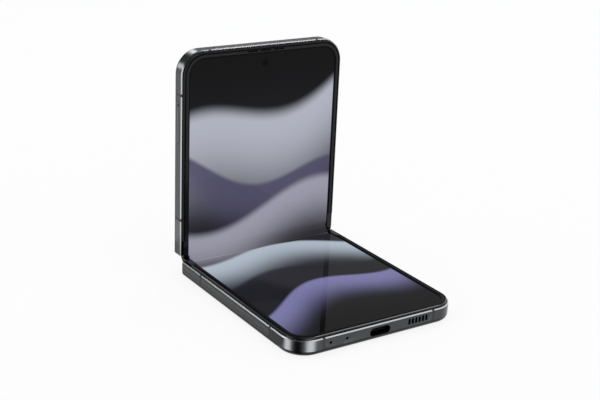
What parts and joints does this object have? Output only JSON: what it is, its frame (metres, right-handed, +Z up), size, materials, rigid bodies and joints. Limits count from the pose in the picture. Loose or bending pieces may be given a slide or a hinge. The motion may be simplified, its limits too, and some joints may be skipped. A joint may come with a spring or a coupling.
{
  "type": "foldable smartphone",
  "caption": "Clamshell phone with a flexible inner screen that folds over a geared two-axis hinge; keys press and the card tray slides out.",
  "frame": {"origin": "on the lower half's flat rear face, at the middle of that half; the phone stands on this face when it is part open", "axes": "+X along the hinge, +Z up out of the lower half's rear face, -Y from the hinge to the lower half's far end"},
  "size_m": [0.0723, 0.0903, 0.0887],
  "materials": {
    "frame_metal": "anodised graphite, fine satin",
    "antenna_plastic": "matte moulded",
    "rear_glass": "glossy black glass with an opaque coating behind it",
    "bezel_plastic": "matte, fine grain",
    "cap_rubber": "glossy black elastomer",
    "screen": "glossy protective film over the display",
    "steel": "fine machined",
    "brass": "plain",
    "copper": "enamelled copper wire",
    "battery_wrap": "foil pouch",
    "board": "solder mask",
    "black_plastic": "moulded",
    "lens_glass": "coated glass over black",
    "flash_lens": "frosted lens",
    "card_plastic": "plain card"
  },
  "bodies": {
    "lower_half": {"lower_frame": "frame_metal", "lower_antenna_bands": "antenna_plastic", "lower_rear_glass": "rear_glass", "lower_bezel": "bezel_plastic", "lower_bezel_caps": "cap_rubber", "lower_screen": "screen", "lower_support_plate": "steel", "fold_screen_lower": "screen", "lower_battery": "battery_wrap", "charging_coil": "copper", "sub_board": "board", "usb_receptacle": "steel", "usb_tongue": "black_plastic", "loudspeaker": "black_plastic", "lower_microphones": "brass", "vibration_motor": "steel", "lower_rotators": "steel", "lower_rotator_screws": "steel"},
    "hinge_spine": {"hinge_cover": "frame_metal", "hinge_blocks": "steel", "gear_shafts": "steel", "friction_washers": "brass"},
    "upper_half": {"upper_frame": "frame_metal", "upper_antenna_bands": "antenna_plastic", "upper_rear_glass": "rear_glass", "cover_display": "rear_glass", "camera_rings": "frame_metal", "camera_lenses": "lens_glass", "camera_module": "black_plastic", "camera_flash": "flash_lens", "upper_bezel": "bezel_plastic", "upper_bezel_caps": "cap_rubber", "upper_screen": "screen", "upper_support_plate": "steel", "fold_screen_upper": "screen", "upper_battery": "battery_wrap", "main_board": "board", "board_shields": "steel", "earpiece": "black_plastic", "front_camera": "black_plastic", "top_microphone": "brass", "upper_rotators": "steel", "upper_rotator_screws": "steel", "key_switches": "brass", "sim_reader": "steel"},
    "lower_sync": {"lower_sync_arms": "brass"},
    "lower_idler": {"lower_idler_gears": "brass"},
    "upper_idler": {"upper_idler_gears": "brass"},
    "upper_sync": {"upper_sync_arms": "brass"},
    "volume_rocker_body": {"volume_rocker": "frame_metal"},
    "side_key_body": {"side_key": "frame_metal"},
    "card_tray": {"sim_tray": "frame_metal", "sim_card": "card_plastic"}
  },
  "joints": [
    {"name": "lower_fold", "type": "hinge", "parent": "lower_half", "child": "hinge_spine", "pos_m": [0, 0.03963, 0.0055], "axis": [1, 0, 0], "range_deg": [-44.8, 45.2], "deforming": ["fold_screen_lower"]},
    {"name": "upper_fold", "type": "hinge", "parent": "hinge_spine", "child": "upper_half", "pos_m": [0, 0.04197, 0.00783], "axis": [1, 0, 0], "range_deg": [-44.8, 45.2], "deforming": ["fold_screen_upper"]},
    {"name": "lower_sync_turn", "type": "hinge", "parent": "hinge_spine", "child": "lower_sync", "pos_m": [0, 0.03965, 0.00356], "axis": [1, 0, 0], "range_deg": [-45.2, 45.2]},
    {"name": "lower_idler_turn", "type": "hinge", "parent": "hinge_spine", "child": "lower_idler", "pos_m": [0, 0.04107, 0.00496], "axis": [1, 0, 0], "range_deg": [-45.2, 45.2]},
    {"name": "upper_idler_turn", "type": "hinge", "parent": "hinge_spine", "child": "upper_idler", "pos_m": [0, 0.04249, 0.00637], "axis": [1, 0, 0], "range_deg": [-45.2, 45.2]},
    {"name": "upper_sync_turn", "type": "hinge", "parent": "hinge_spine", "child": "upper_sync", "pos_m": [0, 0.04391, 0.00778], "axis": [1, 0, 0], "range_deg": [-45.2, 45.2]},
    {"name": "volume_press", "type": "slide", "parent": "upper_half", "child": "volume_rocker_body", "axis": [-1, 0, 0], "range_m": [0, 0.00025], "stiffness_N_per_m": 6000, "springref_m": -0.0003},
    {"name": "side_key_press", "type": "slide", "parent": "upper_half", "child": "side_key_body", "axis": [-1, 0, 0], "range_m": [0, 0.00025], "stiffness_N_per_m": 6000, "springref_m": -0.0003},
    {"name": "tray_slide", "type": "slide", "parent": "upper_half", "child": "card_tray", "axis": [-1, 0, 0], "range_m": [0, 0.018]}
  ],
  "couplings": [
    {"joint": "upper_fold", "follows": "lower_fold", "ratio": 1},
    {"joint": "lower_sync_turn", "follows": "lower_fold", "ratio": -1},
    {"joint": "lower_idler_turn", "follows": "lower_fold", "ratio": 1},
    {"joint": "upper_idler_turn", "follows": "lower_fold", "ratio": -1},
    {"joint": "upper_sync_turn", "follows": "lower_fold", "ratio": 1}
  ]
}
